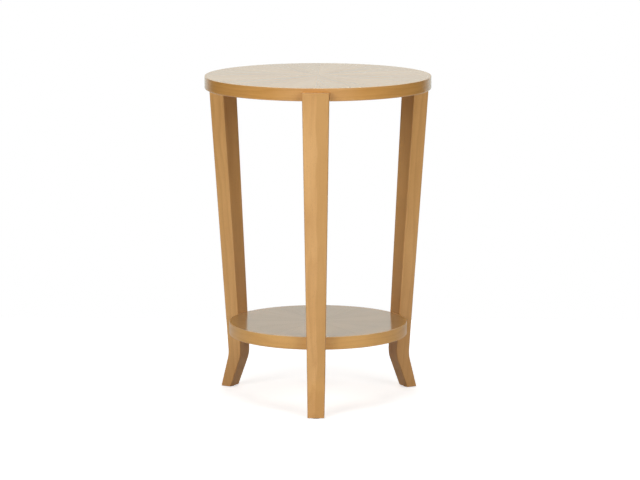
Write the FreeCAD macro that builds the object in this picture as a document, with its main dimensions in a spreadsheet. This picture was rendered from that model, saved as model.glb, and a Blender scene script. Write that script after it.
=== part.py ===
import FreeCAD, Part
import os
import Sketcher

# A round end table on three sabre legs, with a round shelf just above the knees.
# The top and the shelf are veneered core boards with a solid band round the edge.
# The heads of the legs are let into the edge of the top, under its lip, and the shelf
# is housed in the inner faces of the legs. A bolt and a cam lock pull every joint tight.
# The origin is on the floor under the centre of the top, with Z up and the front leg
# towards -Y. Each sub-part is drawn with its first leg along its own X axis.

DRIVING_SIZES = {
    # Whole table
    "overall_height": "610",
    "cut_overrun": "5",
    "joint_gap": "0.15",
    "bore_gap": "0.1",
    # Top and shelf
    "top_diameter": "423",
    "top_thickness": "24",
    "lip_height": "7.5",
    "shelf_diameter": "335",
    "shelf_thickness": "24",
    "shelf_height": "145",
    "band_thickness": "3",
    "band_arris": "1.2",
    "veneer_thickness": "0.6",
    "leaf_count": "12",
    # Legs
    "leg_proud": "17",
    "leg_head_depth": "31.5",
    "leg_head_width": "49.5",
    "knee_height": "65.5",
    "knee_depth": "27.8",
    "knee_round": "60",
    "foot_spread": "415",
    "foot_depth": "20.7",
    "foot_width": "31",
    "leg_arris": "1",
    "shelf_let_in": "1",
    # Glides under the feet
    "glide_diameter": "16",
    "glide_height": "1.5",
    # Cam locks and their bolts
    "cam_diameter": "15",
    "cam_height": "12.5",
    "cam_setback": "24",
    "cam_cross_length": "8",
    "cam_cross_width": "2",
    "cam_cross_depth": "2",
    "bolt_diameter": "7",
    "bolt_rise": "8",
    "bolt_leg_depth": "11",
    "bolt_past_cam": "1.5",
}

DERIVED_SIZES = {
    # Levels above the floor
    "top_underside": "=overall_height - top_thickness",
    "top_core_level": "=top_underside + veneer_thickness",
    "top_leaf_level": "=overall_height - veneer_thickness",
    "shelf_underside": "=shelf_height - shelf_thickness",
    "shelf_core_level": "=shelf_underside + veneer_thickness",
    "shelf_leaf_level": "=shelf_height - veneer_thickness",
    "shelf_middle_level": "=shelf_height - shelf_thickness / 2",
    "leg_head_level": "=overall_height - lip_height",
    "top_bolt_level": "=top_underside + bolt_rise",
    "shelf_bolt_level": "=shelf_underside + bolt_rise",
    # Boards
    "top_radius": "=top_diameter / 2",
    "top_core_radius": "=top_radius - band_thickness",
    "top_core_thickness": "=top_thickness - 2 * veneer_thickness",
    "shelf_radius": "=shelf_diameter / 2",
    "shelf_core_radius": "=shelf_radius - band_thickness",
    "shelf_core_thickness": "=shelf_thickness - 2 * veneer_thickness",
    "leaf_angle": "=360 / leaf_count",
    # Side outline of a leg: the inner face runs from the head down past the shelf to the knee
    "leg_outer_radius": "=top_radius + leg_proud",
    "leg_inner_radius": "=leg_outer_radius - leg_head_depth",
    "leg_shelf_radius": "=shelf_radius - shelf_let_in",
    "leg_lean": "=(leg_inner_radius - leg_shelf_radius) / (leg_head_level - shelf_middle_level)",
    "knee_inner_radius": "=leg_shelf_radius - leg_lean * (shelf_middle_level - knee_height)",
    "knee_outer_radius": "=knee_inner_radius + knee_depth",
    "foot_level": "=glide_height",
    "foot_outer_radius": "=foot_spread / 2",
    "foot_inner_radius": "=foot_outer_radius - foot_depth",
    "foot_middle_radius": "=foot_outer_radius - foot_depth / 2",
    # Front outline of a leg, with the room that its tapering cut needs
    "leg_half_width": "=leg_head_width / 2",
    "foot_half_width": "=foot_width / 2",
    "taper_side": "=leg_half_width + cut_overrun",
    "taper_bottom": "=foot_level - cut_overrun",
    "taper_top": "=leg_head_level + cut_overrun",
    # Housing of the shelf in a leg, and the notch for a leg's head in the edge of the top
    "housing_radius": "=shelf_radius + joint_gap",
    "notch_width": "=leg_head_width + 2 * joint_gap",
    "notch_bottom": "=top_underside - cut_overrun",
    "notch_outer_radius": "=top_radius + cut_overrun",
    "notch_inner_radius": "=leg_inner_radius - joint_gap",
    "notch_bottom_radius": "=notch_inner_radius - leg_lean * (leg_head_level - notch_bottom)",
    # Joints between the legs and the boards, where a bolt's axis meets the face of a leg
    "top_joint_radius": "=leg_inner_radius - leg_lean * (leg_head_level - top_bolt_level)",
    "top_cam_radius": "=top_joint_radius - cam_setback",
    "top_bore_start": "=top_joint_radius - cut_overrun",
    "top_bore_end": "=top_joint_radius + cut_overrun",
    "shelf_joint_radius": "=shelf_radius",
    "shelf_cam_radius": "=shelf_joint_radius - cam_setback",
    "shelf_bore_start": "=shelf_joint_radius - cut_overrun",
    "shelf_bore_end": "=shelf_joint_radius + cut_overrun",
    # Bores in the boards and the legs
    "cam_bore_radius": "=cam_radius + bore_gap",
    "cam_bore_depth": "=cam_height + bore_gap",
    "bolt_bore_radius": "=bolt_radius + bore_gap",
    "board_bore_depth": "=cam_setback + cut_overrun",
    "leg_bore_depth": "=bolt_leg_depth + bore_gap + cut_overrun",
    # Cam locks
    "cam_radius": "=cam_diameter / 2",
    "cam_slot_start": "=cam_radius + cut_overrun",
    "cam_slot_depth": "=cam_slot_start + bolt_past_cam + bore_gap",
    "cam_slot_half": "=bolt_radius + bore_gap",
    "cam_slot_bottom": "=bolt_rise - cam_slot_half",
    "cam_slot_top": "=bolt_rise + cam_slot_half",
    "cross_reach": "=cam_cross_length / 2",
    "cross_half": "=cam_cross_width / 2",
    # Cam bolts, measured from the face of the leg
    "bolt_radius": "=bolt_diameter / 2",
    "bolt_board_depth": "=cam_setback + bolt_past_cam",
    "bolt_length": "=bolt_leg_depth + bolt_board_depth",
    # Glides
    "glide_radius": "=glide_diameter / 2",
}

LEG_LABELS = ("leg_front", "leg_right", "leg_left")
FRONT_ANGLE = -90
LEG_ANGLES = {
    label: FRONT_ANGLE + number * 360 / len(LEG_LABELS)
    for number, label in enumerate(LEG_LABELS)
}
UPRIGHT = FreeCAD.Vector(0, 0, 1)

doc = FreeCAD.newDocument("end_table")
sheet = doc.addObject("Spreadsheet::Sheet", "Sizes")
for row, (name, text) in enumerate({**DRIVING_SIZES, **DERIVED_SIZES}.items(), start=1):
    sheet.set(f"A{row}", name)
    sheet.set(f"B{row}", text)
    sheet.setAlias(f"B{row}", name)
doc.recompute()


def on_sheet(size):
    """A size's name, or its negative, or plain zero, as an expression."""
    if size == "0":
        return size
    if size.startswith("-"):
        return "-Sizes." + size[1:]
    return "Sizes." + size


def bind(item, setting, size):
    """Tie a setting of an object to a size of the sheet."""
    item.setExpression(setting, on_sheet(size))


def turned(angle):
    """A turn about the upright axis of the table."""
    return FreeCAD.Rotation(UPRIGHT, angle)


def new_body(label, angle=0):
    """An empty body, turned about the upright axis so that its X axis points at a leg."""
    body = doc.addObject("PartDesign::Body", label)
    body.Placement = FreeCAD.Placement(FreeCAD.Vector(), turned(angle))
    return body


def origin_feature(body, role):
    """One of a body's own origin planes or axes."""
    return next(item for item in body.Origin.OriginFeatures if item.Role == role)


def new_sketch(body, name, plane, offset="0"):
    """A sketch on an origin plane, moved along the plane's normal by a size."""
    sketch = body.newObject("Sketcher::SketchObject", name)
    sketch.AttachmentSupport = [(origin_feature(body, plane), "")]
    sketch.MapMode = "FlatFace"
    bind(sketch, "AttachmentOffset.Base.z", offset)
    return sketch


def point_at(sketch, across, up):
    """Where two sizes put a point of a sketch."""
    return FreeCAD.Vector(sketch.evalExpression(on_sheet(across)), sketch.evalExpression(on_sheet(up)), 0)


def hold_point(sketch, geometry, point, across, up):
    """Tie a point of a sketch to two sizes, measured from the sketch's origin."""
    place = point_at(sketch, across, up)
    for kind, distance, size in (("DistanceX", place.x, across), ("DistanceY", place.y, up)):
        hold = sketch.addConstraint(Sketcher.Constraint(kind, -1, 1, geometry, point, distance))
        bind(sketch, f"Constraints[{hold}]", size)


def draw_outline(sketch, corners):
    """A closed outline with straight sides, through corners given as pairs of sizes."""
    places = [point_at(sketch, *corner) for corner in corners]
    sides = [
        sketch.addGeometry(Part.LineSegment(start, end))
        for start, end in zip(places, places[1:] + places[:1])
    ]
    for side, following in zip(sides, sides[1:] + sides[:1]):
        sketch.addConstraint(Sketcher.Constraint("Coincident", side, 2, following, 1))
    for side, corner in zip(sides, corners):
        hold_point(sketch, side, 1, *corner)


def draw_circle(sketch, across, up, radius):
    """A circle whose centre and radius are sizes."""
    length = sketch.evalExpression(on_sheet(radius))
    circle = sketch.addGeometry(Part.Circle(point_at(sketch, across, up), UPRIGHT, length))
    hold = sketch.addConstraint(Sketcher.Constraint("Radius", circle, length))
    bind(sketch, f"Constraints[{hold}]", radius)
    hold_point(sketch, circle, 3, across, up)


def pad(body, name, sketch, length, symmetric=False):
    """Material along a sketch's normal, or evenly to both sides of it."""
    feature = body.newObject("PartDesign::Pad", name)
    feature.Profile = sketch
    feature.Midplane = symmetric
    bind(feature, "Length", length)
    doc.recompute()
    return feature


def pocket(body, name, sketch, length, along_normal=False, symmetric=False):
    """A cut against a sketch's normal, along it, or evenly to both sides. It has to cut something."""
    solid = body.Tip.Shape.Volume
    feature = body.newObject("PartDesign::Pocket", name)
    feature.Profile = sketch
    feature.Reversed = along_normal
    feature.Midplane = symmetric
    bind(feature, "Length", length)
    doc.recompute()
    if feature.Shape.isNull() or not feature.Shape.Volume < solid:
        raise RuntimeError(f"{body.Label}: {name} cuts nothing")
    return feature


def dress_edges(body, kind, name, size, wanted):
    """A fillet or a chamfer on the edges of a body's tip that a test picks."""
    base = body.Tip
    edges = [f"Edge{number}" for number, edge in enumerate(base.Shape.Edges, start=1) if wanted(edge)]
    feature = body.newObject(f"PartDesign::{kind}", name)
    feature.Base = (base, edges)
    bind(feature, {"Fillet": "Radius", "Chamfer": "Size"}[kind], size)
    doc.recompute()


def repeat_at_legs(body, features):
    """The same cuts at every leg."""
    pattern = body.newObject("PartDesign::PolarPattern", "at_each_leg")
    pattern.Originals = features
    pattern.Axis = (origin_feature(body, "Z_Axis"), [""])
    pattern.Angle = 360
    pattern.Occurrences = len(LEG_ANGLES)
    body.Tip = pattern
    doc.recompute()


def place(item, angle, radius, level):
    """Put an object at an angle round the table, turned to face outwards, by two sizes."""
    item.Placement = FreeCAD.Placement(FreeCAD.Vector(), turned(angle))
    item.setExpression("Placement.Base.x", f"{on_sheet(radius)} * cos({angle})")
    item.setExpression("Placement.Base.y", f"{on_sheet(radius)} * sin({angle})")
    bind(item, "Placement.Base.z", level)


def set_of(label, single, places):
    """A set of like fittings in one node: one separate solid at each place."""
    fittings = []
    for spot in places:
        fitting = doc.addObject("App::Link", f"{label}_each")
        fitting.LinkedObject = single
        place(fitting, *spot)
        fittings.append(fitting)
    group = doc.addObject("Part::Compound", label)
    group.Links = fittings
    return group


# Legs

def shape_leg(body):
    """A straight leaning shaft, bent at a soft knee and tapered towards the foot."""
    side = new_sketch(body, "side_outline", "XZ_Plane")
    draw_outline(side, [
        ("foot_inner_radius", "foot_level"),
        ("foot_outer_radius", "foot_level"),
        ("knee_outer_radius", "knee_height"),
        ("leg_outer_radius", "leg_head_level"),
        ("leg_inner_radius", "leg_head_level"),
        ("knee_inner_radius", "knee_height"),
    ])
    pad(body, "blank", side, "leg_head_width", symmetric=True)

    knee = sheet.get("knee_height")
    dress_edges(body, "Fillet", "knee", "knee_round", lambda edge: is_at_level(edge, knee))

    front = new_sketch(body, "front_outline", "YZ_Plane")
    draw_outline(front, [
        ("foot_half_width", "taper_bottom"),
        ("foot_half_width", "foot_level"),
        ("leg_half_width", "leg_head_level"),
        ("leg_half_width", "taper_top"),
        ("taper_side", "taper_top"),
        ("taper_side", "taper_bottom"),
    ])
    taper = pocket(body, "taper", front, "foot_spread", along_normal=True)
    both_sides = body.newObject("PartDesign::Mirrored", "taper_both_sides")
    both_sides.Originals = [taper]
    both_sides.MirrorPlane = (origin_feature(body, "XZ_Plane"), [""])
    body.Tip = both_sides
    doc.recompute()

    head = sheet.get("leg_head_level")
    dress_edges(body, "Chamfer", "arris", "leg_arris", lambda edge: is_leg_arris(edge, head))


def is_at_level(edge, level):
    """Whether an edge lies level, at a height above the floor."""
    return abs(edge.CenterOfMass.z - level) < edge.Tolerance


def is_leg_arris(edge, head):
    """Whether an edge runs down a corner of the leg or round its head."""
    return is_at_level(edge, head) or edge.BoundBox.ZLength > edge.BoundBox.YLength


def bore_leg(body, board):
    """A blind bore in a leg's inner face for the bolt of a board's joint."""
    bolt = new_sketch(body, f"{board}_bolt_place", "YZ_Plane", f"{board}_bore_start")
    draw_circle(bolt, "0", f"{board}_bolt_level", "bolt_bore_radius")
    pocket(body, f"{board}_bolt_bore", bolt, "leg_bore_depth", along_normal=True)


def make_leg(label, angle):
    """One solid wood leg with its joinery."""
    body = new_body(label, angle)
    shape_leg(body)
    housing = new_sketch(body, "housing_outline", "XY_Plane", "shelf_height")
    draw_circle(housing, "0", "0", "housing_radius")
    pocket(body, "shelf_housing", housing, "shelf_thickness")
    bore_leg(body, "top")
    bore_leg(body, "shelf")
    return body


# Top and shelf

def make_disc(label, radius, level, thickness):
    """A round board or sheet, turned so that its own X axis points at the front leg."""
    body = new_body(label, FRONT_ANGLE)
    outline = new_sketch(body, "outline", "XY_Plane", level)
    draw_circle(outline, "0", "0", radius)
    pad(body, "blank", outline, thickness)
    return body


def cut_notch(body):
    """A notch in the edge of the top for the head of a leg. Its back wall leans with the leg."""
    notch = new_sketch(body, "notch_outline", "XZ_Plane")
    draw_outline(notch, [
        ("notch_bottom_radius", "notch_bottom"),
        ("notch_outer_radius", "notch_bottom"),
        ("notch_outer_radius", "leg_head_level"),
        ("notch_inner_radius", "leg_head_level"),
    ])
    return pocket(body, "notch", notch, "notch_width", symmetric=True)


def cut_cam_bore(body, board):
    """A bore up from the underside of a board for a cam lock."""
    cam = new_sketch(body, "cam_place", "XY_Plane", f"{board}_underside")
    draw_circle(cam, f"{board}_cam_radius", "0", "cam_bore_radius")
    return pocket(body, "cam_bore", cam, "cam_bore_depth", along_normal=True)


def cut_bolt_bore(body, board):
    """A bore into the edge of a board for a bolt, as deep as the cam."""
    bolt = new_sketch(body, "bolt_place", "YZ_Plane", f"{board}_bore_end")
    draw_circle(bolt, "0", f"{board}_bolt_level", "bolt_bore_radius")
    return pocket(body, "bolt_bore", bolt, "board_bore_depth")


def make_band(label, board, level, thickness):
    """A solid wood band bent round the edge of a board, its upper arris eased."""
    body = new_body(label, FRONT_ANGLE)
    outline = new_sketch(body, "outline", "XY_Plane", level)
    draw_circle(outline, "0", "0", f"{board}_radius")
    draw_circle(outline, "0", "0", f"{board}_core_radius")
    pad(body, "blank", outline, thickness)
    core = sheet.get(f"{board}_core_radius")
    middle = body.Tip.Shape.CenterOfMass.z
    dress_edges(body, "Chamfer", "arris", "band_arris", lambda edge: is_upper_rim(edge, core, middle))
    return body


def is_upper_rim(edge, core, middle):
    """Whether an edge is a circle outside the core and above the middle of a band."""
    is_rim = isinstance(edge.Curve, Part.Circle) and edge.Curve.Radius > core + edge.Tolerance
    return is_rim and edge.CenterOfMass.z > middle


def make_leaves(board):
    """Wedge leaves of veneer that meet at the centre of a board as a sunburst."""
    leaves = []
    for number in range(sheet.get("leaf_count")):
        leaf = doc.addObject("Part::Cylinder", f"{board}_veneer_leaf_{number + 1:02d}")
        bind(leaf, "Radius", f"{board}_core_radius")
        bind(leaf, "Height", "veneer_thickness")
        bind(leaf, "Angle", "leaf_angle")
        leaf.Placement = FreeCAD.Placement(FreeCAD.Vector(), turned(number * sheet.get("leaf_angle")))
        bind(leaf, "Placement.Base.z", f"{board}_leaf_level")
        leaves.append(leaf)
    return leaves


def make_top():
    """The notched top: core, band, backing and leaves."""
    core = make_disc("top_core", "top_core_radius", "top_core_level", "top_core_thickness")
    repeat_at_legs(core, [cut_notch(core), cut_cam_bore(core, "top"), cut_bolt_bore(core, "top")])
    band = make_band("top_edge_band", "top", "top_underside", "top_thickness")
    repeat_at_legs(band, [cut_notch(band)])
    backing = make_disc("top_backing_veneer", "top_core_radius", "top_underside", "veneer_thickness")
    repeat_at_legs(backing, [cut_notch(backing), cut_cam_bore(backing, "top")])
    return [core, band, backing] + make_leaves("top")


def make_shelf():
    """The shelf: core, band, backing and leaves, all full round."""
    core = make_disc("shelf_core", "shelf_core_radius", "shelf_core_level", "shelf_core_thickness")
    repeat_at_legs(core, [cut_cam_bore(core, "shelf"), cut_bolt_bore(core, "shelf")])
    band = make_band("shelf_edge_band", "shelf", "shelf_underside", "shelf_thickness")
    repeat_at_legs(band, [cut_bolt_bore(band, "shelf")])
    backing = make_disc("shelf_backing_veneer", "shelf_core_radius", "shelf_underside", "veneer_thickness")
    repeat_at_legs(backing, [cut_cam_bore(backing, "shelf")])
    return [core, band, backing] + make_leaves("shelf")


# Cam locks and bolts

def make_cam():
    """A cast cam: a drum with a slot for the bolt's head and a cross recess in its open face."""
    body = new_body("cam_lock")
    outline = new_sketch(body, "outline", "XY_Plane")
    draw_circle(outline, "0", "0", "cam_radius")
    pad(body, "drum", outline, "cam_height")
    slot = new_sketch(body, "slot_outline", "YZ_Plane", "cam_slot_start")
    draw_outline(slot, [
        ("-cam_slot_half", "cam_slot_bottom"),
        ("cam_slot_half", "cam_slot_bottom"),
        ("cam_slot_half", "cam_slot_top"),
        ("-cam_slot_half", "cam_slot_top"),
    ])
    pocket(body, "slot", slot, "cam_slot_depth")
    cross = new_sketch(body, "cross_outline", "XY_Plane")
    draw_outline(cross, [
        ("cross_half", "cross_half"),
        ("cross_half", "cross_reach"),
        ("-cross_half", "cross_reach"),
        ("-cross_half", "cross_half"),
        ("-cross_reach", "cross_half"),
        ("-cross_reach", "-cross_half"),
        ("-cross_half", "-cross_half"),
        ("-cross_half", "-cross_reach"),
        ("cross_half", "-cross_reach"),
        ("cross_half", "-cross_half"),
        ("cross_reach", "-cross_half"),
        ("cross_reach", "cross_half"),
    ])
    pocket(body, "cross", cross, "cam_cross_depth", along_normal=True)
    return body


def make_bolt():
    """A steel bolt, threaded into the leg and held by the cam inside the board."""
    body = new_body("cam_bolt")
    section = new_sketch(body, "section", "YZ_Plane", "-bolt_board_depth")
    draw_circle(section, "0", "0", "bolt_radius")
    pad(body, "rod", section, "bolt_length")
    return body


def make_fixings():
    """The fixings of every joint, one node for each kind."""
    cams = []
    bolts = []
    for board in ("top", "shelf"):
        for angle in LEG_ANGLES.values():
            cams.append((angle, f"{board}_cam_radius", f"{board}_underside"))
            bolts.append((angle, f"{board}_joint_radius", f"{board}_bolt_level"))
    return [set_of("cam_locks", make_cam(), cams), set_of("cam_bolts", make_bolt(), bolts)]


# Glides

def make_glide():
    """A thin round nylon pad."""
    body = new_body("glide")
    outline = new_sketch(body, "outline", "XY_Plane")
    draw_circle(outline, "0", "0", "glide_radius")
    pad(body, "pad", outline, "glide_height")
    return body


def make_feet():
    """A glide under each foot."""
    places = [(angle, "foot_middle_radius", "0") for angle in LEG_ANGLES.values()]
    return [set_of("glides", make_glide(), places)]


sub_parts = [make_leg(label, angle) for label, angle in LEG_ANGLES.items()]
sub_parts += make_top() + make_shelf() + make_fixings() + make_feet()
doc.recompute()

failed = [item.Label for item in doc.Objects if {"Invalid", "Error"} & set(item.State)]
failed += [item.Label for item in sub_parts if item.Shape.isNull() or not item.Shape.isValid()]
if failed:
    raise RuntimeError("not built: " + ", ".join(failed))

os.makedirs("parts", exist_ok=True)
for sub_part in sub_parts:
    sub_part.Shape.exportStep(f"parts/{sub_part.Label}.step")
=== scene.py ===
import math

import bmesh
import bpy
from mathutils import Matrix, Vector


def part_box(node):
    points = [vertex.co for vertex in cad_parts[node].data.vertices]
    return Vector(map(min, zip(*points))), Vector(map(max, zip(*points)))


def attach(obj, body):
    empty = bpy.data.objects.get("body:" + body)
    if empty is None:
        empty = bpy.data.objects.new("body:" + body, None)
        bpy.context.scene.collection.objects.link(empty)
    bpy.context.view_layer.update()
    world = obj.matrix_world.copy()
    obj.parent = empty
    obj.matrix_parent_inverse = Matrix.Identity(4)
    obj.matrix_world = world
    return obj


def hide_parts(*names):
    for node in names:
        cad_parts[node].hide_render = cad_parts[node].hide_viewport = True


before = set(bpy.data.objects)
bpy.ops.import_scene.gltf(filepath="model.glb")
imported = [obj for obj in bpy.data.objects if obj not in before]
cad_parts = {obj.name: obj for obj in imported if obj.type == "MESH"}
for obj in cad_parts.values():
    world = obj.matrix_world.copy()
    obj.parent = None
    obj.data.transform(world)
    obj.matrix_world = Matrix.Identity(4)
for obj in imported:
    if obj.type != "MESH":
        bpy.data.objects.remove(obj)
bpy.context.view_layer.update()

# Core boards: the top and the shelf are each built on a round board of fibreboard, sawn and bored by
# machine. They show only in the bores for the cam locks and in the notches for the legs, as a felted edge.
BOARD_FLUFF = (0.0009, 0.0009, 0.0004)
BOARD_CLOUD = (0.02, 0.02, 0.006)
BOARD_NAP = 0.0002
BOARD_ROUGHNESS = 0.78


class Value:
    """One value in a graph of nodes. A sum on it adds Math nodes to that graph."""

    def __init__(self, graph, socket):
        self.graph = graph
        self.socket = socket

    def output(self, name):
        return Value(self.graph, self.graph.find(self.socket.node.outputs, name))

    def math(self, operation, *others):
        return self.graph.math(operation, self, *others)

    def __add__(self, other):
        return self.math("ADD", other)

    __radd__ = __add__

    def __sub__(self, other):
        return self.math("SUBTRACT", other)

    def __rsub__(self, other):
        return self.graph.math("SUBTRACT", other, self)

    def __mul__(self, other):
        return self.math("MULTIPLY", other)

    __rmul__ = __mul__

    def __truediv__(self, other):
        return self.math("DIVIDE", other)

    def __rtruediv__(self, other):
        return self.graph.math("DIVIDE", other, self)

    def __pow__(self, other):
        return self.math("POWER", other)

    def __abs__(self):
        return self.math("ABSOLUTE")

    def __neg__(self):
        return self.math("MULTIPLY", -1.0)


class Graph:
    """A tree of nodes under construction."""

    def __init__(self, tree):
        self.tree = tree

    @staticmethod
    def find(sockets, name):
        if isinstance(name, int):
            return sockets[name]
        return next(socket for socket in sockets if socket.identifier == name)

    def join(self, value, socket):
        if isinstance(value, Value):
            self.tree.links.new(value.socket, socket)
        else:
            socket.default_value = value

    def node(self, kind, settings=None, sockets=None, output=0):
        """Add a node: its settings first, then what its sockets hold or are joined to."""
        node = self.tree.nodes.new(kind)
        for name, value in (settings or {}).items():
            if name == "stops":
                for _ in value[2:]:
                    node.color_ramp.elements.new(1.0)
                for stop, (position, grey) in zip(node.color_ramp.elements, value):
                    stop.position = position
                    stop.color = (grey, grey, grey, 1.0)
            else:
                setattr(node, name, value)
        for name, value in (sockets or {}).items():
            for single in value if isinstance(value, list) else [value]:
                self.join(single, self.find(node.inputs, name))
        return Value(self, self.find(node.outputs, output))

    def math(self, operation, *values):
        return self.node("ShaderNodeMath", {"operation": operation}, dict(enumerate(values)))

    def vector(self, x, y, z):
        return self.node("ShaderNodeCombineXYZ", sockets={"X": x, "Y": y, "Z": z})

    def split(self, vector):
        x = self.node("ShaderNodeSeparateXYZ", sockets={"Vector": vector})
        return x, x.output("Y"), x.output("Z")

    def step(self, value, low, high):
        """0 below the low mark, 1 above the high one, and a soft change between them."""
        return self.node(
            "ShaderNodeMapRange",
            {"interpolation_type": "SMOOTHSTEP"},
            {"Value": value, "From Min": low, "From Max": high},
        )

    def mix(self, share, first, second):
        return self.node(
            "ShaderNodeMix",
            {"data_type": "RGBA"},
            {"Factor_Float": share, "A_Color": first, "B_Color": second},
            "Result_Color",
        )


class Finish(Graph):
    """The material of one kind of piece."""

    def __init__(self, name):
        self.material = bpy.data.materials.new(name)
        self.material.use_nodes = True
        super().__init__(self.material.node_tree)

    def surface(self, **sockets):
        shader = self.tree.nodes["Principled BSDF"]
        for name, value in sockets.items():
            self.join(value, self.find(shader.inputs, name.replace("_", " ")))

    def place(self):
        """Where a point of the piece is, in metres."""
        return self.node("ShaderNodeTexCoord", output="Object")

    def facing(self):
        """Which way the surface of the piece looks."""
        return self.node("ShaderNodeTexCoord", output="Normal")

    def turned(self, vector, angles):
        return self.node("ShaderNodeMapping", sockets={"Vector": vector, "Rotation": angles})

    def noise(self, place, size, detail=2.0, seed=0.0):
        """Soft random marks about as long each way as the size says, from 0 to 1."""
        scaled = self.node(
            "ShaderNodeMapping",
            sockets={
                "Vector": place,
                "Location": (seed, seed, seed),
                "Scale": tuple(1 / length for length in size),
            },
        )
        return self.node("ShaderNodeTexNoise", sockets={"Vector": scaled, "Scale": 1.0, "Detail": detail})

    def bump(self, height, depth):
        return self.node("ShaderNodeBump", sockets={"Height": height, "Distance": depth, "Strength": 1.0})


def tint(red, green, blue):
    """A colour as a colour chart writes it, from 0 to 255, in the even steps that light adds up in."""
    shares = [level / 255 for level in (red, green, blue)]
    return tuple(s / 12.92 if s <= 0.04045 else ((s + 0.055) / 1.055) ** 2.4 for s in shares) + (1.0,)


def dress(finish, *nodes):
    """Give solids of the frame a finish."""
    for node in nodes:
        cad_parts[node].data.materials.clear()
        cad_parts[node].data.materials.append(finish.material)


fibreboard = Finish("fibreboard")
board_place = fibreboard.place()
board_fluff = fibreboard.noise(board_place, BOARD_FLUFF, detail=4.0)
board_cloud = fibreboard.noise(board_place, BOARD_CLOUD, seed=3.0)
board_tone = board_fluff * 0.7 + board_cloud * 0.3
fibreboard.surface(
    Base_Color=fibreboard.mix(board_tone, tint(118, 88, 58), tint(172, 138, 98)),
    Roughness=BOARD_ROUGHNESS + board_fluff * 0.15,
    Normal=fibreboard.bump(board_fluff, BOARD_NAP),
)
dress(fibreboard, "top_core", "shelf_core")

# Backing veneers: a plain sheet of sliced wood is glued under each board, so that both faces of the board
# pull alike and it stays flat. It is sanded and sealed with one thin coat, and its grain runs across.
GRAIN_SWAY = (0.05, 0.05, 0.30)
GRAIN_RIPPLE = (0.010, 0.010, 0.12)
GRAIN_FIBRE = (0.0011, 0.0011, 0.07)
GRAIN_CLOUD = (0.035, 0.035, 0.16)
GRAIN_PORE = (0.00028, 0.00028, 0.0045)
SWAY_WIDTH = 0.045
RIPPLE_WIDTH = 0.006
RING_STOPS = ((0.0, 0.25), (0.10, 0.0), (0.55, 0.35), (0.86, 1.0), (1.0, 0.25))
RING_MEAN = 0.42
NOISE_MEAN = 0.5
TONE_MEAN = 0.46
RING_CONTRAST = 0.34
FIBRE_CONTRAST = 0.75
PORE_FROM = 0.63
PORE_TO = 0.74
PORE_SHARE = 0.34
PORE_STAIN = tint(112, 68, 30)
BACKING_ROUGHNESS = 0.52
BACKING_RELIEF = 0.00012


def timber(finish, place, light, dark, ring_width=0.010, pith=(0.012, 0.045), contrast=1.0, seed=0.0):
    """Stained hardwood: its colour, pores, fibres and clouds. The place is taken across, into and along
    the grain."""
    across, depth, _ = finish.split(place)
    sway = finish.noise(place, GRAIN_SWAY, seed=seed)
    ripple = finish.noise(place, GRAIN_RIPPLE, detail=3.0, seed=seed + 7.0)
    radius = ((across - pith[0]) ** 2.0 + (depth - pith[1]) ** 2.0) ** 0.5
    turns = (radius + sway * SWAY_WIDTH + ripple * RIPPLE_WIDTH) / ring_width
    ring = finish.node("ShaderNodeValToRGB", {"stops": RING_STOPS}, {"Fac": turns.math("FRACT")})
    fibre = finish.noise(place, GRAIN_FIBRE, detail=3.0, seed=seed + 11.0)
    cloud = finish.noise(place, GRAIN_CLOUD, seed=seed + 17.0)
    pores = finish.step(finish.noise(place, GRAIN_PORE, detail=1.0, seed=seed + 23.0), PORE_FROM, PORE_TO)
    marks = (ring - RING_MEAN) * RING_CONTRAST + (fibre - NOISE_MEAN) * FIBRE_CONTRAST
    tone = TONE_MEAN + (marks + (cloud - NOISE_MEAN)) * contrast
    stained = finish.mix(tone.math("MINIMUM", 1.0).math("MAXIMUM", 0.0), light, dark)
    colour = finish.mix(pores * PORE_SHARE, stained, PORE_STAIN)
    return colour, pores, fibre, cloud


backing = Finish("backing_veneer")
backing_x, backing_y, backing_z = backing.split(backing.place())
backing_colour, backing_pores, backing_fibre, _ = timber(
    backing,
    backing.vector(backing_y, backing_z, backing_x),
    light=tint(206, 166, 112),
    dark=tint(172, 124, 70),
    seed=31.0,
)
backing.surface(
    Base_Color=backing_colour,
    Roughness=BACKING_ROUGHNESS + backing_fibre * 0.12,
    Normal=backing.bump(backing_fibre * 0.4 - backing_pores, BACKING_RELIEF),
)
dress(backing, "top_backing_veneer", "shelf_backing_veneer")

# Sunburst leaves: twelve wedges cut from one stack of veneer meet at the middle of each board, every
# second one turned over so that the grain mirrors at the seams. They are glued down, stained honey and
# lacquered to a gloss, the top's more than the shelf's.
LEAVES = sorted(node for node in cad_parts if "_veneer_leaf_" in node)
TOP_LEAVES = [node for node in LEAVES if node.startswith("top_")]
SHELF_LEAVES = [node for node in LEAVES if node.startswith("shelf_")]
LEAF_TURN = 2 * math.pi / len(TOP_LEAVES)
VENEER_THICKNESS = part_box(TOP_LEAVES[0])[1].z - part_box(TOP_LEAVES[0])[0].z
LEAF_RING_WIDTH = 0.013
LEAF_PITH = (0.004, 0.02)
LEAF_ROUGHNESS = 0.10
LEAF_RELIEF = 0.00004
TURNED_STAIN = tint(142, 100, 48)
SEAM_WIDTH = 0.0006
SEAM_CORE = SEAM_WIDTH * 0.2
SEAM_GLUE = tint(92, 54, 24)


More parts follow.
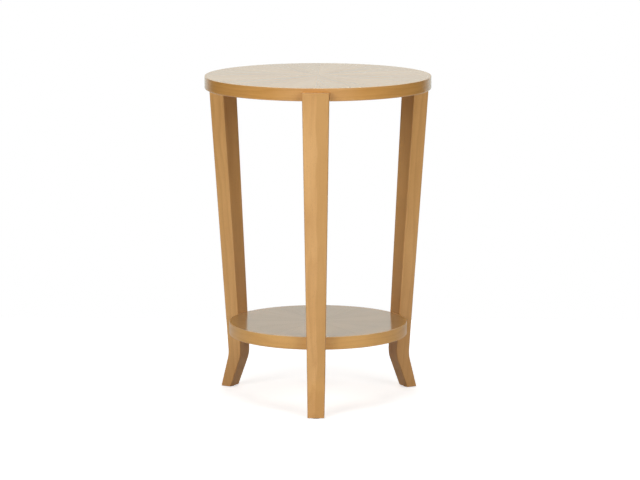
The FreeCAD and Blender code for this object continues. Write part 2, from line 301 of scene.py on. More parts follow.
def sunburst(name, leaves, light, dark, contrast, turned_shade, seam_shade, gloss, seed):
    """Veneer whose grain runs out from the middle of the board in each leaf."""
    finish = Finish(name)
    x, y, _ = finish.split(finish.place())
    number = (y.math("ARCTAN2", x) / LEAF_TURN).math("FLOOR")
    middle = (number + 0.5) * LEAF_TURN
    along = x * middle.math("COSINE") + y * middle.math("SINE")
    across = y * middle.math("COSINE") - x * middle.math("SINE")
    turned_over = number.math("FLOORED_MODULO", 2.0)
    face_across = across * (1.0 - 2.0 * turned_over)
    stack = finish.vector(face_across, number * VENEER_THICKNESS, along)
    colour, pores, fibre, cloud = timber(
        finish, stack, light, dark, LEAF_RING_WIDTH, LEAF_PITH, contrast, seed
    )
    to_seam = along * math.sin(LEAF_TURN / 2) - abs(across) * math.cos(LEAF_TURN / 2)
    seam = 1.0 - finish.step(to_seam, SEAM_CORE, SEAM_WIDTH)
    shaded = finish.mix(turned_over * turned_shade, colour, TURNED_STAIN)
    finish.surface(
        Base_Color=finish.mix(seam * seam_shade, shaded, SEAM_GLUE),
        Roughness=LEAF_ROUGHNESS + cloud * 0.06 + fibre * 0.03,
        Specular_IOR_Level=gloss,
        Normal=finish.bump(fibre * 0.2 - pores * 0.3 - seam * 0.3, LEAF_RELIEF),
    )
    dress(finish, *leaves)


sunburst(
    "top_sunburst_veneer",
    TOP_LEAVES,
    light=tint(220, 168, 101),
    dark=tint(187, 133, 74),
    contrast=0.6,
    turned_shade=0.12,
    seam_shade=0.26,
    gloss=0.40,
    seed=41.0,
)
sunburst(
    "shelf_sunburst_veneer",
    SHELF_LEAVES,
    light=tint(206, 161, 103),
    dark=tint(184, 139, 83),
    contrast=0.55,
    turned_shade=0.07,
    seam_shade=0.3,
    gloss=0.26,
    seed=53.0,
)

# Edge bands: a strip of solid wood is bent round each board and glued on, so that no fibreboard shows. Its
# outer edges are rounded over. The top's strip is notched from below for the heads of the legs, and the
# shelf's is drilled for the bolts that hold the legs.
TOP_LOW, TOP_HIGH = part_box("top_edge_band")
SHELF_LOW, SHELF_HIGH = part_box("shelf_edge_band")
BAND_THICKNESS = 0.003
BAND_ROUND = 0.0027
BAND_LOWER_ROUND = 0.0006
BAND_SIDES = 288
ROUND_STEPS = 5
NOTCH_WIDTH = 0.0498
LIP_HEIGHT = 0.0075
BOLT_RADIUS = 0.0035
BOLT_RISE = 0.008
BORE_GAP = 0.0001
BORE_SIDES = 32
CUT_REACH = 0.02
LEG_COUNT = 3
QUARTER_TURN = math.pi / 2
LEG_TURN = 2 * math.pi / LEG_COUNT
FRONT_ANGLE = -QUARTER_TURN
UPRIGHT = (0.0, 0.0, 0.0)
SIDEWAYS = (0.0, QUARTER_TURN, 0.0)
SHARP_ANGLE = math.radians(35)
SMALLEST_EDGE = 0.000002
BAND_RING_WIDTH = 0.008
BAND_PITH_IN = 0.05
BAND_CONTRAST = 0.6
BAND_RELIEF = 0.00006
# Slopes and pale colour of the painted highlight on the band's rounded upper edge.
EDGE_HIGHLIGHT_FROM = 0.15
EDGE_HIGHLIGHT_TO = 0.45
EDGE_HIGHLIGHT_TINT = tint(240, 208, 162)


class Pattern(Graph):
    """A tree of geometry nodes with named sizes, run once to make a piece."""

    def __init__(self, name, **sizes):
        super().__init__(bpy.data.node_groups.new(name, "GeometryNodeTree"))
        self.sizes = sizes
        self.tree.interface.new_socket("Geometry", in_out="OUTPUT", socket_type="NodeSocketGeometry")
        for size, value in sizes.items():
            kind = "NodeSocketInt" if isinstance(value, int) else "NodeSocketFloat"
            self.tree.interface.new_socket(size, in_out="INPUT", socket_type=kind)
        self.inputs = self.tree.nodes.new("NodeGroupInput")

    def size(self, name):
        return Value(self, self.inputs.outputs[name])

    def block(self, x, y, z):
        return self.node("GeometryNodeMeshCube", sockets={"Size": self.vector(x, y, z)}, output="Mesh")

    def bar(self, sides, radius, length, rows=1):
        return self.node(
            "GeometryNodeMeshCylinder",
            {"fill_type": "NGON"},
            {"Vertices": sides, "Side Segments": rows, "Radius": radius, "Depth": length},
            "Mesh",
        )

    def hoop(self, sides, radius, width, height, easing):
        """A ring of square section. The easing gives the rounding of a corner, from whether it is outside
        and whether it is above."""
        path = self.node(
            "GeometryNodeCurvePrimitiveCircle",
            {"mode": "RADIUS"},
            {"Resolution": sides, "Radius": radius - width / 2},
        )
        section = self.node(
            "GeometryNodeCurvePrimitiveQuadrilateral",
            {"mode": "RECTANGLE"},
            {"Width": width, "Height": height},
        )
        x, y, _ = self.split(self.node("GeometryNodeInputPosition"))
        rounding = easing(x.math("GREATER_THAN", 0.0), y.math("GREATER_THAN", 0.0))
        eased = self.node(
            "GeometryNodeFilletCurve",
            {"mode": "POLY"},
            {"Curve": section, "Count": ROUND_STEPS, "Radius": rounding},
        )
        return self.node("GeometryNodeCurveToMesh", sockets={"Curve": path, "Profile Curve": eased})

    def moved(self, shape, x=0.0, z=0.0, turn=UPRIGHT):
        return self.node(
            "GeometryNodeTransform",
            sockets={"Geometry": shape, "Translation": self.vector(x, 0.0, z), "Rotation": turn},
        )

    def round_the_legs(self, shape):
        """One copy of the shape for each leg, turned about the middle of the table."""
        turn = self.node("GeometryNodeInputIndex") * LEG_TURN + FRONT_ANGLE
        points = self.node("GeometryNodePoints", sockets={"Count": self.size("Legs")})
        return self.node(
            "GeometryNodeInstanceOnPoints",
            sockets={"Points": points, "Instance": shape, "Rotation": self.vector(0.0, 0.0, turn)},
        )

    def cut(self, shape, tool):
        return self.node(
            "GeometryNodeMeshBoolean",
            {"operation": "DIFFERENCE", "solver": "EXACT"},
            {"Mesh 1": shape, "Mesh 2": [tool], "Self Intersection": True},
            "Mesh",
        )

    def made_of(self, shape, finish):
        plain = self.node("GeometryNodeRealizeInstances", sockets={"Geometry": shape})
        return self.node(
            "GeometryNodeSetMaterial", sockets={"Geometry": plain, "Material": finish.material}
        )

    def grow(self, name, shape, slot, *nodes):
        """Run the tree, keep the result as a plain mesh and let it stand for those solids."""
        end = self.tree.nodes.new("NodeGroupOutput")
        self.join(shape, end.inputs[0])
        piece = new_piece(name, bpy.data.meshes.new(name))
        modifier = piece.modifiers.new("shape", "NODES")
        modifier.node_group = self.tree
        for item in self.tree.interface.items_tree:
            if item.in_out == "INPUT":
                modifier[item.identifier] = self.sizes[item.name]
        settle(piece, slot, *nodes)


def new_piece(name, mesh):
    piece = bpy.data.objects.new(name, mesh)
    bpy.context.scene.collection.objects.link(piece)
    return piece


def made_plain(piece):
    """Keep what the modifiers make of a piece as its own mesh."""
    graph = bpy.context.evaluated_depsgraph_get()
    plain = bpy.data.meshes.new_from_object(piece.evaluated_get(graph), depsgraph=graph)
    plain.name = piece.name
    piece.modifiers.clear()
    piece.data = plain
    return plain


def settle(piece, slot, *nodes):
    """Finish a piece as a plain mesh, smooth up to its edges, and tie it to the frame."""
    plain = made_plain(piece)
    faces = bmesh.new()
    faces.from_mesh(plain)
    bmesh.ops.dissolve_degenerate(faces, dist=SMALLEST_EDGE, edges=faces.edges)
    faces.to_mesh(plain)
    faces.free()
    plain.shade_smooth()
    plain.set_sharp_from_angle(angle=SHARP_ANGLE)
    piece.modifiers.new("shading", "WEIGHTED_NORMAL").keep_sharp = True
    made_plain(piece)
    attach(piece, "root")
    if nodes:
        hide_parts(*nodes)


def notch(pattern):
    """The room for the head of a leg, open below and stopped under the lip."""
    height = pattern.size("Height") - pattern.size("Lip")
    block = pattern.block(CUT_REACH, pattern.size("Notch"), height * 2.0)
    return pattern.moved(block, x=pattern.size("Radius"), z=pattern.size("Underside"))


def bolt_hole(pattern):
    """The hole that a bolt goes through on its way into the leg."""
    drill = pattern.bar(BORE_SIDES, pattern.size("Bore"), CUT_REACH)
    level = pattern.size("Underside") + pattern.size("Bolt_Rise")
    return pattern.moved(drill, x=pattern.size("Radius"), z=level, turn=SIDEWAYS)


def edge_band(name, node, finish, opening, **opening_sizes):
    low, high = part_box(node)
    pattern = Pattern(
        name + "_pattern",
        Radius=high.x,
        Thickness=BAND_THICKNESS,
        Underside=low.z,
        Height=high.z - low.z,
        Round=BAND_ROUND,
        Lower_Round=BAND_LOWER_ROUND,
        Legs=LEG_COUNT,
        **opening_sizes,
    )

    def easing(outside, above):
        return outside * (above * pattern.size("Round") + (1.0 - above) * pattern.size("Lower_Round"))

    height = pattern.size("Height")
    strip = pattern.hoop(BAND_SIDES, pattern.size("Radius"), pattern.size("Thickness"), height, easing)
    strip = pattern.moved(strip, z=pattern.size("Underside") + height / 2)
    opened = pattern.cut(strip, pattern.round_the_legs(opening(pattern)))
    pattern.grow(name, pattern.made_of(opened, finish), "edge_band_wood", node)


def rounded_edge_share(finish, facing, low, high):
    """1 on a rounded edge, from how far the surface there faces one way, and 0 on the flats beside it."""
    slope = (1.0 - facing * facing).math("MAXIMUM", 0.0) ** 0.5
    return finish.step(facing * slope, low, high)


def band_finish(name, radius, light, dark, gloss, roughness, seed):
    """Wood whose grain runs round the board, with a painted highlight along its rounded upper edge."""
    finish = Finish(name)
    x, y, z = finish.split(finish.place())
    round_the_edge = x.math("ARCTAN2", -y) * radius
    inwards = (x * x + y * y) ** 0.5
    colour, pores, fibre, cloud = timber(
        finish,
        finish.vector(z, inwards, round_the_edge),
        light,
        dark,
        BAND_RING_WIDTH,
        (0.0, radius - BAND_PITH_IN),
        BAND_CONTRAST,
        seed,
    )
    _, _, upwards = finish.split(finish.facing())
    # Painted highlight: the rounded upper edge is mixed towards a pale colour, as where it catches the
    # light.
    edge_highlight = rounded_edge_share(finish, upwards, EDGE_HIGHLIGHT_FROM, EDGE_HIGHLIGHT_TO)
    finish.surface(
        Base_Color=finish.mix(edge_highlight * (0.4 + cloud * 0.4), colour, EDGE_HIGHLIGHT_TINT),
        Roughness=roughness + cloud * 0.10 + fibre * 0.06,
        Specular_IOR_Level=gloss,
        Normal=finish.bump(fibre * 0.4 - pores * 0.6, BAND_RELIEF),
    )
    return finish


top_band_wood = band_finish(
    "top_band_wood",
    TOP_HIGH.x,
    light=tint(219, 166, 97),
    dark=tint(184, 127, 60),
    gloss=0.60,
    roughness=0.12,
    seed=61.0,
)
edge_band("top_edge_strip", "top_edge_band", top_band_wood, notch, Lip=LIP_HEIGHT, Notch=NOTCH_WIDTH)
shelf_band_wood = band_finish(
    "shelf_band_wood",
    SHELF_HIGH.x,
    light=tint(224, 175, 107),
    dark=tint(195, 142, 76),
    gloss=0.34,
    roughness=0.22,
    seed=68.0,
)
edge_band(
    "shelf_edge_strip",
    "shelf_edge_band",
    shelf_band_wood,
    bolt_hole,
    Bore=BOLT_RADIUS + BORE_GAP,
    Bolt_Rise=BOLT_RISE,
)

# Legs: each is band-sawn from one straight plank of the same wood, planed to a taper, with a soft knee and
# a flared foot, and its long edges are eased by hand. The head fits a notch under the top's lip, a shallow
# housing in the inner face takes the rim of the shelf, and two blind bores take the bolts.
FOOT_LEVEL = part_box("leg_front")[0].z
HEAD_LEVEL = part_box("leg_front")[1].z
HEAD_PROUD = 0.017
HEAD_OUT = TOP_HIGH.x + HEAD_PROUD
HEAD_DEPTH = 0.0315
HEAD_WIDTH = 0.0495
KNEE_LEVEL = 0.0655
KNEE_IN = 0.1621
KNEE_DEPTH = 0.0278
KNEE_BEND = 0.060
KNEE_STEPS = 14
FOOT_OUT = 0.2075
FOOT_DEPTH = 0.0207
FOOT_WIDTH = 0.031
LEAN = math.atan((HEAD_OUT - KNEE_IN - KNEE_DEPTH) / (HEAD_LEVEL - KNEE_LEVEL))
ARRIS_ROUND = 0.0017
ARRIS_STEPS = 4
HEAD_EASING = 0.5
SOLE_EASING = 0.25
HOUSING_GAP = 0.00015
HOUSING_MIDDLE = (SHELF_HIGH.z + SHELF_LOW.z) / 2
BOLT_IN_LEG = 0.011
TOP_BORE_END = -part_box("cam_bolts")[0].y + BORE_GAP
SHELF_BORE_END = SHELF_HIGH.x + BOLT_IN_LEG + BORE_GAP
LEGS = {"leg_front": 0, "leg_right": 1, "leg_left": 2}
LEG_ANGLES = {leg: FRONT_ANGLE + place * LEG_TURN for leg, place in LEGS.items()}
LEG_LIGHT = tint(222, 173, 111)
LEG_DARK = tint(191, 140, 79)
LEG_RING_WIDTH = 0.011
LEG_PITH = (0.006, 0.030)
LEG_CONTRAST = 0.8
LEG_ROUGHNESS = 0.26
LEG_RELIEF = 0.00008
LEG_SEED = 71.0
LEG_SEED_STEP = 13.0
HEARTWOOD = {"leg_front": 0.001, "leg_right": 0.018, "leg_left": 0.030}
HEART_BLUR = 0.0015
HEART_MARKS = (0.03, 0.03, 0.09)
HEART_WANDER = 0.016
HEART_SHARE = 0.5
HEART_STAIN = tint(186, 138, 74)
# Painted shade towards the floor: how high it reaches on each leg in metres, how strong it is and its
# colour.
DARKER_BELOW = {"leg_front": 0.09, "leg_right": 0.30, "leg_left": 0.12}
DARKEST_BELOW = 0.35
FLOOR_SHADE_SHARE = 0.35
FLOOR_SHADE_TINT = tint(168, 116, 62)
# Painted shade along the eased long edges of the legs: the slopes where it starts and ends, and its colour.
EASED_FROM = 0.22
EASED_TO = 0.48
EASED_EDGE_SHADE = tint(160, 112, 62)


def bent_line(head, knee, foot):
    """One face of a leg seen from the side: straight, round the knee, and straight to the floor."""
    up, down = (head - knee).normalized(), (foot - knee).normalized()
    half_turn = (math.pi - up.angle(down)) / 2
    centre = knee + (up + down).normalized() * KNEE_BEND / math.cos(half_turn)
    first = (knee + up * KNEE_BEND * math.tan(half_turn) - centre).normalized()
    last = (knee + down * KNEE_BEND * math.tan(half_turn) - centre).normalized()
    arc = [centre + first.slerp(last, step / KNEE_STEPS) * KNEE_BEND for step in range(KNEE_STEPS + 1)]
    return [head, *arc, foot]


def leg_block(name):
    """A leg before its joints are cut, with marks on the edges that are eased."""
    inner = bent_line(
        Vector((HEAD_OUT - HEAD_DEPTH, HEAD_LEVEL)),
        Vector((KNEE_IN, KNEE_LEVEL)),
        Vector((FOOT_OUT - FOOT_DEPTH, FOOT_LEVEL)),
    )
    outer = bent_line(
        Vector((HEAD_OUT, HEAD_LEVEL)),
        Vector((KNEE_IN + KNEE_DEPTH, KNEE_LEVEL)),
        Vector((FOOT_OUT, FOOT_LEVEL)),
    )
    block = bmesh.new()
    rings = []
    for near, far in zip(inner, outer):
        corners = []
        for (out, level), side in ((near, -1), (far, -1), (far, 1), (near, 1)):
            share = (level - FOOT_LEVEL) / (HEAD_LEVEL - FOOT_LEVEL)
            half_width = (FOOT_WIDTH + (HEAD_WIDTH - FOOT_WIDTH) * share) / 2
            corners.append(block.verts.new((out, side * half_width, level)))
        rings.append(corners)
    for upper, lower in zip(rings, rings[1:]):
        for corner in range(4):
            nearby = (corner + 1) % 4
            block.faces.new((upper[corner], upper[nearby], lower[nearby], lower[corner]))
    head = block.faces.new(rings[0])
    sole = block.faces.new(reversed(rings[-1]))
    bmesh.ops.recalc_face_normals(block, faces=block.faces)
    easing = block.edges.layers.float.new("bevel_weight_edge")
    for upper, lower in zip(rings, rings[1:]):
        for start, end in zip(upper, lower):
            block.edges.get((start, end))[easing] = 1.0
    for face, share in ((head, HEAD_EASING), (sole, SOLE_EASING)):
        for edge in face.edges:
            edge[easing] = share
    mesh = bpy.data.meshes.new(name)
    block.to_mesh(mesh)
    block.free()
    return mesh


def round_cutter(name, sides, radius, length, places):
    """Round bars of one size, which are taken out of the legs at those places."""
    bars = bmesh.new()
    for place in places:
        bmesh.ops.create_cone(
            bars,
            cap_ends=True,
            segments=sides,
            radius1=radius,
            radius2=radius,
            depth=length,
            matrix=place,
        )
    mesh = bpy.data.meshes.new(name)
    bars.to_mesh(mesh)
    bars.free()
    return new_piece(name, mesh)


def leg_finish(name, angle, heart, darker_below, seed):
    """The plank's face looks out of the table, and its grain follows the lean of the straight part."""
    finish = Finish(name)
    plank = finish.turned(finish.place(), (0, 0, -angle))
    lie = finish.turned(plank, (0, -LEAN, 0))
    out, across, along = finish.split(lie)
    colour, pores, fibre, cloud = timber(
        finish,
        finish.vector(across, out - HEAD_OUT, along),
        LEG_LIGHT,
        LEG_DARK,
        LEG_RING_WIDTH,
        LEG_PITH,
        LEG_CONTRAST,
        seed,
    )
    wander = (finish.noise(lie, HEART_MARKS, detail=3.0, seed=seed + 29.0) - NOISE_MEAN) * HEART_WANDER
    heartwood = finish.step(across + wander, heart - HEART_BLUR, heart + HEART_BLUR)
    # Painted shade: the leg is mixed towards a darker colour near the floor.
    floor_shade = 1.0 - finish.step(along, darker_below * DARKEST_BELOW, darker_below)
    colour = finish.mix(heartwood * HEART_SHARE, colour, HEART_STAIN)
    colour = finish.mix(floor_shade * FLOOR_SHADE_SHARE, colour, FLOOR_SHADE_TINT)
    _, sideways, _ = finish.split(finish.turned(finish.facing(), (0, 0, -angle)))
    # Painted shade: the eased long edges are mixed towards a darker colour.
    eased = rounded_edge_share(finish, abs(sideways), EASED_FROM, EASED_TO)
    finish.surface(
        Base_Color=finish.mix(eased * (0.15 + cloud * 0.4), colour, EASED_EDGE_SHADE),
        Roughness=LEG_ROUGHNESS + cloud * 0.10 + fibre * 0.06 - eased * 0.05,
        Normal=finish.bump(fibre * 0.4 - pores * 0.6, LEG_RELIEF),
    )
    return finish


shelf_room = round_cutter(
    "housing",
    BAND_SIDES,
    SHELF_HIGH.x + HOUSING_GAP,
    SHELF_HIGH.z - SHELF_LOW.z + 2 * HOUSING_GAP,
    [Matrix.Translation((0, 0, HOUSING_MIDDLE))],
)
bolt_room = round_cutter(
    "bores",
    BORE_SIDES,
    BOLT_RADIUS + BORE_GAP,
    CUT_REACH * 2,
    [
        Matrix.Rotation(angle, 4, "Z")
        @ Matrix.Translation((bore_end - CUT_REACH, 0, underside + BOLT_RISE))
        @ Matrix.Rotation(QUARTER_TURN, 4, "Y")
        for angle in LEG_ANGLES.values()
        for bore_end, underside in ((TOP_BORE_END, TOP_LOW.z), (SHELF_BORE_END, SHELF_LOW.z))
    ],
)
for leg, place in LEGS.items():
    leg_wood = leg_finish(
        leg + "_wood",
        LEG_ANGLES[leg],
        HEARTWOOD[leg],
        DARKER_BELOW[leg],
        LEG_SEED + LEG_SEED_STEP * place,
    )
    leg_mesh = leg_block(leg)
    leg_mesh.transform(Matrix.Rotation(LEG_ANGLES[leg], 4, "Z"))
    leg_mesh.materials.append(leg_wood.material)
    leg_piece = new_piece(leg + "_timber", leg_mesh)
    eased_edges = leg_piece.modifiers.new("eased edges", "BEVEL")
    eased_edges.width = ARRIS_ROUND
    eased_edges.segments = ARRIS_STEPS
    eased_edges.limit_method = "WEIGHT"
    for room in (shelf_room, bolt_room):
        joint = leg_piece.modifiers.new(room.name, "BOOLEAN")
        joint.object = room
        joint.solver = "EXACT"
    settle(leg_piece, "leg_wood", leg)
bpy.data.objects.remove(shelf_room)
bpy.data.objects.remove(bolt_room)

# Cam locks and bolts: a cast zinc drum turns in a bore under each board and draws in the head of a steel
# bolt, whose threaded end is screwed into the leg up to a collar. Only the drum's face with its cross for
# the screwdriver shows, from below.
CAM_RADIUS = 0.0075
CAM_HEIGHT = 0.0125
CAM_SIDES = 48
CROSS_LENGTH = 0.008
CROSS_WIDTH = 0.002
CROSS_DEPTH = 0.002
TOP_CAM_OUT = -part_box("cam_locks")[0].y - CAM_RADIUS
SHELF_CAM_OUT = 0.1435
ZINC_GRAIN = (0.0006, 0.0006, 0.0006)
ZINC_STAIN = (0.006, 0.006, 0.006)
ZINC_ROUGHNESS = 0.36
ZINC_RELIEF = 0.00008
BOLT_PAST_CAM = 0.0015
BOLT_LENGTH = BOLT_IN_LEG + SHELF_HIGH.x - SHELF_CAM_OUT + BOLT_PAST_CAM
BOLT_SIDES = 16
PLAIN_ROWS = 20
THREAD_TURNS = 5
THREAD_ROWS = THREAD_TURNS * BOLT_SIDES
THREAD_DEPTH = 0.26
POINT_ROWS = 12
BOLT_ROWS = PLAIN_ROWS + THREAD_ROWS
BOLT_OUTLINE = (
    (0, 0.60),
    (1, 0.96),
    (2, 0.96),
    (3, 0.58),
    (5, 0.58),
    (6, 0.86),
    (18, 0.86),
    (19, 1.00),
    (BOLT_ROWS - POINT_ROWS, 1.00),
    (BOLT_ROWS, 0.30),
)
STEEL_GRAIN = (0.0004, 0.0004, 0.0004)
STEEL_FILM = (0.004, 0.004, 0.004)
STEEL_ROUGHNESS = 0.24
STEEL_RELIEF = 0.00003


def at_both_boards(pattern, shape, turn=UPRIGHT):
    """One copy of a fitting at each joint of a leg with the top and with the shelf."""
    fittings = [
        pattern.moved(shape, x=pattern.size(board + "_Out"), z=pattern.size(board + "_Level"), turn=turn)
        for board in ("Top", "Shelf")
    ]
    return pattern.node(
        "GeometryNodeJoinGeometry",
        sockets={"Geometry": [pattern.round_the_legs(fitting) for fitting in fittings]},
    )


zinc = Finish("cast_zinc")
zinc_place = zinc.place()
zinc_grain = zinc.noise(zinc_place, ZINC_GRAIN, detail=4.0)
zinc_stain = zinc.noise(zinc_place, ZINC_STAIN, seed=5.0)
zinc_tone = zinc_stain * 0.6 + zinc_grain * 0.4
zinc.surface(
    Base_Color=zinc.mix(zinc_tone, tint(150, 152, 154), tint(196, 197, 196)),
    Metallic=1.0,
    Roughness=ZINC_ROUGHNESS + zinc_grain * 0.16,
    Normal=zinc.bump(zinc_grain, ZINC_RELIEF),
)

locks = Pattern(
    "cam_lock_pattern",
    Radius=CAM_RADIUS,
    Height=CAM_HEIGHT,
    Slot_Length=CROSS_LENGTH,
    Slot_Width=CROSS_WIDTH,
    Slot_Depth=CROSS_DEPTH,
    Bolt_Slot=2 * (BOLT_RADIUS + BORE_GAP),
    Bolt_Rise=BOLT_RISE,
    Bolt_Past=BOLT_PAST_CAM + BORE_GAP,
    Top_Out=TOP_CAM_OUT,
    Top_Level=TOP_LOW.z,
    Shelf_Out=SHELF_CAM_OUT,
    Shelf_Level=SHELF_LOW.z,
    Legs=LEG_COUNT,
)
cam_radius, cam_height = locks.size("Radius"), locks.size("Height")
drum = locks.moved(locks.bar(CAM_SIDES, cam_radius, cam_height), z=cam_height / 2)
slot_length, slot_width = locks.size("Slot_Length"), locks.size("Slot_Width")
slot_height = locks.size("Slot_Depth") * 2.0
cross = locks.node(
    "GeometryNodeMeshBoolean",
    {"operation": "UNION", "solver": "EXACT"},
    {
        "Mesh 2": [
            locks.block(slot_length, slot_width, slot_height),
            locks.block(slot_width, slot_length, slot_height),
        ],
        "Self Intersection": True,
    },
    "Mesh",
)
bolt_slot = locks.moved(
    locks.block(cam_radius * 2.0, locks.size("Bolt_Slot"), locks.size("Bolt_Slot")),
    x=cam_radius - locks.size("Bolt_Past"),
    z=locks.size("Bolt_Rise"),
)
all_locks = at_both_boards(locks, locks.cut(locks.cut(drum, cross), bolt_slot))
locks.grow("cam_lock_drums", locks.made_of(all_locks, zinc), "cast_zinc", "cam_locks")

steel = Finish("bolt_steel")
steel_place = steel.place()
steel_grain = steel.noise(steel_place, STEEL_GRAIN, detail=3.0)
steel_film = steel.noise(steel_place, STEEL_FILM, seed=9.0)
steel.surface(
    Base_Color=steel.mix(steel_film, tint(158, 160, 164), tint(202, 202, 198)),
    Metallic=1.0,
    Roughness=STEEL_ROUGHNESS + steel_grain * 0.12,
    Normal=steel.bump(steel_grain, STEEL_RELIEF),
)

bolts = Pattern(
    "cam_bolt_pattern",
    Radius=BOLT_RADIUS,
    Plain_Length=BOLT_LENGTH - BOLT_IN_LEG,
    Thread_Length=BOLT_IN_LEG,
    Thread_Depth=THREAD_DEPTH,
    Top_Out=TOP_CAM_OUT - BOLT_PAST_CAM,
    Top_Level=TOP_LOW.z + BOLT_RISE,
    Shelf_Out=SHELF_CAM_OUT - BOLT_PAST_CAM,
    Shelf_Level=SHELF_LOW.z + BOLT_RISE,
    Legs=LEG_COUNT,
)
rod_x, rod_y, rod_z = bolts.split(bolts.node("GeometryNodeInputPosition"))
rod_share = rod_z + 0.5
rod_row = rod_share * BOLT_ROWS
thread_row = (rod_row - PLAIN_ROWS).math("MAXIMUM", 0.0)
outline = bolts.node(
    "ShaderNodeValToRGB",
    {"stops": [(row / BOLT_ROWS, share) for row, share in BOLT_OUTLINE]},
    {"Fac": rod_share},
)
helix = thread_row / BOLT_SIDES - rod_y.math("ARCTAN2", rod_x) / (2 * math.pi)
ridge = abs(helix.math("FRACT") * 2.0 - 1.0) ** 2.0
groove = thread_row.math("GREATER_THAN", 0.5) * bolts.size("Thread_Depth") * (1.0 - ridge)
girth = bolts.size("Radius") * outline * (1.0 - groove)
plain_part = rod_row.math("MINIMUM", PLAIN_ROWS) / PLAIN_ROWS * bolts.size("Plain_Length")
thread_part = thread_row / THREAD_ROWS * bolts.size("Thread_Length")
bolt = bolts.node(
    "GeometryNodeSetPosition",
    sockets={
        "Geometry": bolts.bar(BOLT_SIDES, 1.0, 1.0, BOLT_ROWS),
        "Position": bolts.vector(rod_x * girth, rod_y * girth, plain_part + thread_part),
    },
)
all_bolts = at_both_boards(bolts, bolt, SIDEWAYS)
bolts.grow("cam_bolt_screws", bolts.made_of(all_bolts, steel), "bolt_steel", "cam_bolts")

# Foot glides: a thin moulded disc of brown nylon with a rounded sole is nailed under each foot through its
# countersunk middle, so that the table slides and the end grain stays off a wet floor.
GLIDE_RADIUS = 0.008
GLIDE_OUT = FOOT_OUT - FOOT_DEPTH / 2
GLIDE_ROUND = 0.0008
GLIDE_BORE = 0.0011
GLIDE_SIDES = 56
COUNTERSINK = 0.0009
NYLON_SKIN = (0.0007, 0.0007, 0.0007)
NYLON_SCUFF = (0.006, 0.0012, 0.004)
NYLON_ROUGHNESS = 0.42
NYLON_RELIEF = 0.00008
NAIL_HEAD = 0.0019
NAIL_SHANK = 0.0009
NAIL_LENGTH = 0.014
NAIL_DEPTH = 0.0003
NAIL_POINT = 0.35
NAIL_TIP = 0.00015
NAIL_ROWS = 29
NAIL_SIDES = 28

nylon = Finish("glide_nylon")
nylon_place = nylon.place()
nylon_skin = nylon.noise(nylon_place, NYLON_SKIN, detail=3.0)
nylon_scuff = nylon.noise(nylon_place, NYLON_SCUFF, detail=3.0, seed=2.0)
nylon.surface(
    Base_Color=nylon.mix(nylon_scuff * 0.7, tint(70, 46, 28), tint(118, 86, 58)),
    Roughness=NYLON_ROUGHNESS + nylon_skin * 0.2,
    Normal=nylon.bump(nylon_skin * 0.5 + nylon_scuff * 0.5, NYLON_RELIEF),
)

glides = Pattern(
    "glide_pattern",
    Radius=GLIDE_RADIUS,
    Bore=GLIDE_BORE,
    Thickness=FOOT_LEVEL,
    Round=GLIDE_ROUND,
    Countersink=COUNTERSINK,
    Out=GLIDE_OUT,
    Legs=LEG_COUNT,
)


def glide_easing(outside, above):
    return (1.0 - above) * (outside * glides.size("Round") + (1.0 - outside) * glides.size("Countersink"))


glide_wall, glide_thickness = glides.size("Radius") - glides.size("Bore"), glides.size("Thickness")
pad = glides.hoop(GLIDE_SIDES, glides.size("Radius"), glide_wall, glide_thickness, glide_easing)
pads = glides.round_the_legs(glides.moved(pad, x=glides.size("Out"), z=glide_thickness / 2))
glides.grow("foot_glides", glides.made_of(pads, nylon), "glide_nylon", "glides")

nails = Pattern(
    "glide_nail_pattern",
    Head=NAIL_HEAD,
    Shank=NAIL_SHANK,
    Length=NAIL_LENGTH,
    Depth=NAIL_DEPTH,
    Out=GLIDE_OUT,
    Legs=LEG_COUNT,
)
nail_line = nails.node(
    "GeometryNodeCurvePrimitiveLine",
    {"mode": "POINTS"},
    {"Start": (0.0, 0.0, 0.0), "End": nails.vector(0.0, 0.0, nails.size("Length"))},
)
nail_line = nails.node(
    "GeometryNodeResampleCurve", {"mode": "COUNT"}, {"Curve": nail_line, "Count": NAIL_ROWS}
)
_, _, up_nail = nails.split(nails.node("GeometryNodeInputPosition"))
nail_radius = (nails.size("Head") - up_nail).math("MAXIMUM", nails.size("Shank"))
nail_radius = nail_radius.math("MINIMUM", (nails.size("Length") - up_nail) * NAIL_POINT + NAIL_TIP)
nail_section = nails.node(
    "GeometryNodeCurvePrimitiveCircle", {"mode": "RADIUS"}, {"Resolution": NAIL_SIDES}
)
nail = nails.node(
    "GeometryNodeCurveToMesh",
    sockets={"Curve": nail_line, "Profile Curve": nail_section, "Scale": nail_radius, "Fill Caps": True},
)
all_nails = nails.round_the_legs(nails.moved(nail, x=nails.size("Out"), z=nails.size("Depth")))
nails.grow("glide_nails", nails.made_of(all_nails, steel), "bolt_steel")

# Studio: a pale floor that runs into a white room, a high and a low pair of soft lights in front, one above
# and one behind. The lacquer mirrors the room and the floor in front of the table. The camera stands where
# the photograph was taken from, and looks through a long lens.
CAMERA_DISTANCE = 6.4391
CAMERA_HEIGHT = 1.3333
CAMERA_ROUND = math.radians(1.0633)
CAMERA_PAN = math.radians(1.0290)
CAMERA_TILT = math.radians(9.1244)
CAMERA_REACH = 100.0
SENSOR_WIDTH = 36.0
FOCAL_PIXELS = 3471.9
PHOTO_WIDTH = 640
WHITE = (1.0, 1.0, 1.0, 1.0)
BLACK = (0.0, 0.0, 0.0, 1.0)
ROOM_LIGHT = 0.01
ROOM_MIRRORED = (0.89, 0.985, 0.965, 1.0)
WALL_FROM = 0.04
WALL_TO = 0.10
PAPER_FROM = 0.64
PAPER_TO = 0.95
FLOOR_SIDE = 3.2
FLOOR_SQUARES = 8
FLOOR_FORWARD = 0.8
FLOOR_CLOUD = (0.4, 0.4, 0.4)
FLOOR_ROUGHNESS = 0.9
FLOOR_GLOW = (0.62, 0.62, 0.62, 1.0)
FLOOR_MIRRORED = 0.05
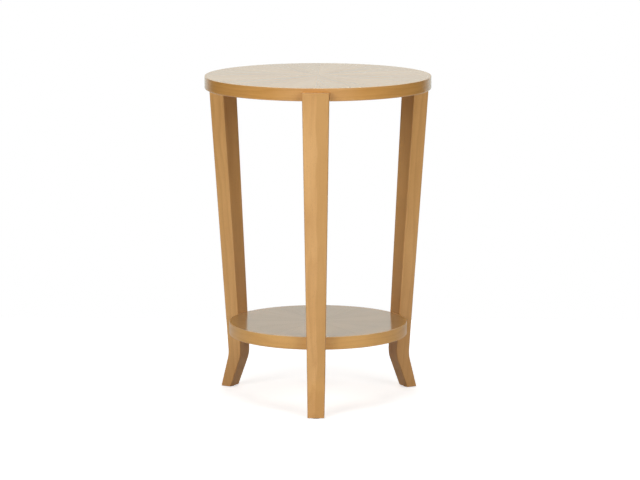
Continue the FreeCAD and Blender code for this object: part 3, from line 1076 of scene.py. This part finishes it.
MIRROR_FADES = -0.7
MIRROR_ENDS = -0.2
LIGHTS_AIM = Vector((0.0, 0.0, 0.35))

scene = bpy.context.scene
scene.view_settings.view_transform = "Standard"


def seen(graph, gloss):
    """1 where the eye sees the room, less in a glossy surface, and 0 where the room only gives light."""
    eye = graph.node("ShaderNodeLightPath", output="Is Camera Ray")
    mirrored = eye.output("Is Glossy Ray") * gloss
    return eye.math("MAXIMUM", mirrored).math("MAXIMUM", eye.output("Is Transmission Ray"))


room = bpy.data.worlds.new("white_room")
room.use_nodes = True
room_graph = Graph(room.node_tree)
_, ahead, upwards = room_graph.split(room_graph.node("ShaderNodeTexCoord", output="Generated"))
wall = room_graph.step(upwards, WALL_FROM, WALL_TO)
paper = room_graph.step(abs(ahead), PAPER_FROM, PAPER_TO)
eye = room_graph.node("ShaderNodeLightPath", output="Is Camera Ray")
room_look = wall.math("MAXIMUM", paper).math("MAXIMUM", eye) * seen(room_graph, 1.0)
background = room.node_tree.nodes["Background"].inputs
room_graph.join(room_look.math("MAXIMUM", ROOM_LIGHT), background["Strength"])
room_graph.join(room_graph.mix(eye, ROOM_MIRRORED, WHITE), background["Color"])
scene.world = room

floor_finish = Finish("pale_floor")
floor_place = floor_finish.place()
floor_cloud = floor_finish.noise(floor_place, FLOOR_CLOUD)
_, floor_back, _ = floor_finish.split(floor_place)
in_front = 1.0 - floor_finish.step(floor_back, MIRROR_FADES, MIRROR_ENDS)
floor_seen = seen(floor_finish, FLOOR_MIRRORED + (1.0 - FLOOR_MIRRORED) * in_front)
floor_finish.surface(
    Base_Color=floor_finish.mix(floor_cloud, tint(228, 228, 228), tint(234, 234, 234)),
    Roughness=FLOOR_ROUGHNESS,
    Specular_IOR_Level=0.0,
    Emission_Color=floor_finish.mix(floor_seen, BLACK, FLOOR_GLOW),
    Emission_Strength=1.0,
)
floor_sheet = bmesh.new()
bmesh.ops.create_grid(
    floor_sheet,
    x_segments=FLOOR_SQUARES,
    y_segments=FLOOR_SQUARES,
    size=FLOOR_SIDE / 2,
    matrix=Matrix.Translation((0, -FLOOR_FORWARD, 0)),
)
floor_mesh = bpy.data.meshes.new("floor")
floor_sheet.to_mesh(floor_mesh)
floor_sheet.free()
floor_mesh.materials.append(floor_finish.material)
floor = new_piece("floor", floor_mesh)


def soft_light(name, place, width, height, power, mirrored=False):
    lamp = bpy.data.lights.new(name, "AREA")
    lamp.shape = "RECTANGLE"
    lamp.size = width
    lamp.size_y = height
    lamp.energy = power
    holder = new_piece(name, lamp)
    holder.location = place
    holder.rotation_euler = (LIGHTS_AIM - Vector(place)).to_track_quat("-Z", "Y").to_euler()
    holder.visible_camera = False
    holder.visible_glossy = mirrored


soft_light("left_light", (-2.0, -2.4, 1.5), width=1.2, height=1.2, power=35.0)
soft_light("right_light", (2.0, -2.4, 1.5), width=1.2, height=1.2, power=32.0)
soft_light("low_left_light", (-1.4, -3.0, 0.9), width=1.0, height=0.8, power=16.0)
soft_light("low_right_light", (1.4, -3.0, 0.9), width=1.0, height=0.8, power=10.0)
soft_light("above_light", (0.0, -0.3, 2.4), width=1.6, height=1.6, power=22.0, mirrored=True)
soft_light("back_light", (0.0, 2.8, 1.2), width=2.2, height=1.0, power=40.0)

lens = bpy.data.cameras.new("camera")
lens.sensor_fit = "HORIZONTAL"
lens.sensor_width = SENSOR_WIDTH
lens.lens = FOCAL_PIXELS * SENSOR_WIDTH / PHOTO_WIDTH
lens.clip_end = CAMERA_REACH
camera = new_piece("camera", lens)
camera.location = (
    CAMERA_DISTANCE * math.sin(CAMERA_ROUND),
    -CAMERA_DISTANCE * math.cos(CAMERA_ROUND),
    CAMERA_HEIGHT,
)
camera.rotation_euler = (QUARTER_TURN - CAMERA_TILT, 0.0, CAMERA_PAN)
scene.camera = camera
